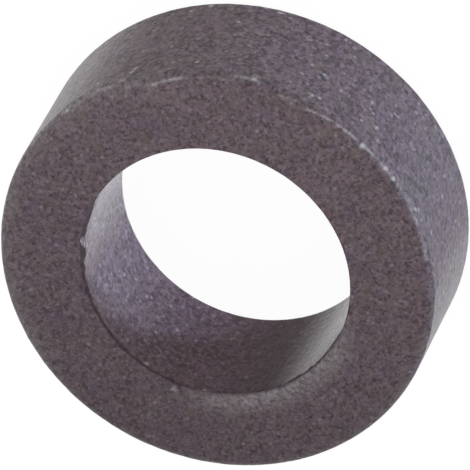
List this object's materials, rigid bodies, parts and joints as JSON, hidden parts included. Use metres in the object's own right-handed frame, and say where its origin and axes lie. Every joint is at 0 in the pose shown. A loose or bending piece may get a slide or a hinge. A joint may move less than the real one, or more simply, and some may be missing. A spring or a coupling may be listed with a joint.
{
  "type": "ferrite ring",
  "caption": "Uncoated ferrite ring core with a plain round bore and rounded edges, slipped over a cable to choke interference or wound as a toroidal inductor.",
  "frame": {"origin": "centre of the lower end face, on the ring's axis", "axes": "+Z along the axis of the bore, up from the lower end face; X and Y are free, because the ring is round"},
  "size_m": [0.022, 0.022, 0.0079],
  "materials": {
    "ferrite": "matt sintered ferrite, mauve grey, fine grained with pale glinting specks"
  },
  "bodies": {
    "root": {"ferrite_ring": "ferrite"}
  },
  "joints": []
}
